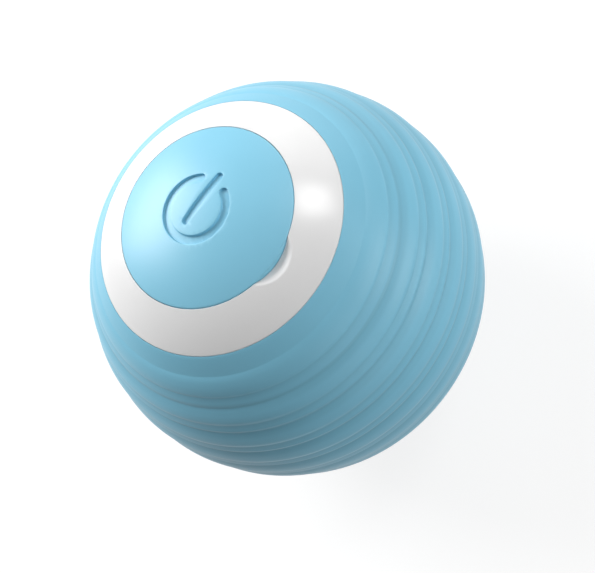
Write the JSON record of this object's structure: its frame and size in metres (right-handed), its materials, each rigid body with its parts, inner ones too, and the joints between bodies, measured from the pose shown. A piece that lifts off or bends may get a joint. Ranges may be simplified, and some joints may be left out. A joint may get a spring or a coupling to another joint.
{
  "type": "self rolling cat ball",
  "caption": "Ridged blue toy ball with a flush lid and power key in a milky ring, holding a motor that swings a weight so that it rolls by itself.",
  "frame": {"origin": "centre of the ball", "axes": "+Z out of the middle of the power cap, +Y the way the bar of the power sign points, +X towards the nail notch beside the cap"},
  "size_m": [0.043, 0.043, 0.043],
  "materials": {
    "shell_blue": "satin",
    "cap_blue": "satin",
    "milky_white": "gloss",
    "white_plastic": "matt",
    "black_plastic": "matt",
    "board_green": "satin lacquer",
    "lamp_white": "clear",
    "gold_can": "bright",
    "gear_nylon": "matt",
    "brass": "cut",
    "steel": "plated",
    "foil": "foil",
    "foam_grey": "foam",
    "tab_metal": "nickel",
    "iron": "plated"
  },
  "bodies": {
    "ball": {"front_shell": "shell_blue", "rear_shell": "shell_blue", "light_ring": "milky_white", "usb_shell": "steel", "usb_tongue": "black_plastic", "press_switch": "black_plastic", "main_board": "board_green", "ring_leds": "lamp_white", "board_chips": "black_plastic", "motion_sensor": "gold_can", "chassis": "white_plastic", "motor_can": "steel", "motor_end_cap": "black_plastic", "battery_cell": "foil", "battery_foam": "foam_grey", "battery_tabs": "tab_metal", "motor_tabs": "tab_metal"},
    "key": {"key_plate": "white_plastic", "switch_plunger": "white_plastic"},
    "lid": {"power_cap": "cap_blue"},
    "swing": {"output_shaft": "steel", "output_gear": "gear_nylon", "swing_weight": "iron"},
    "rotor": {"motor_shaft": "steel", "motor_pinion": "brass"}
  },
  "joints": [
    {"name": "key_press", "type": "slide", "parent": "ball", "child": "key", "axis": [0, 0, 1], "range_m": [-0.0003, 0], "stiffness_N_per_m": 400, "springref_m": 0.0005},
    {"name": "lid_lift", "type": "slide", "parent": "key", "child": "lid", "axis": [0, 0, 1], "range_m": [0, 0.011]},
    {"name": "swing_spin", "type": "hinge", "parent": "ball", "child": "swing", "pos_m": [0, 0, 0], "axis": [0, 0, 1], "continuous": true},
    {"name": "rotor_spin", "type": "hinge", "parent": "ball", "child": "rotor", "pos_m": [0, 0.009, 0], "axis": [0, 0, 1], "continuous": true}
  ],
  "couplings": [
    {"joint": "rotor_spin", "follows": "swing_spin", "ratio": -3.5}
  ]
}
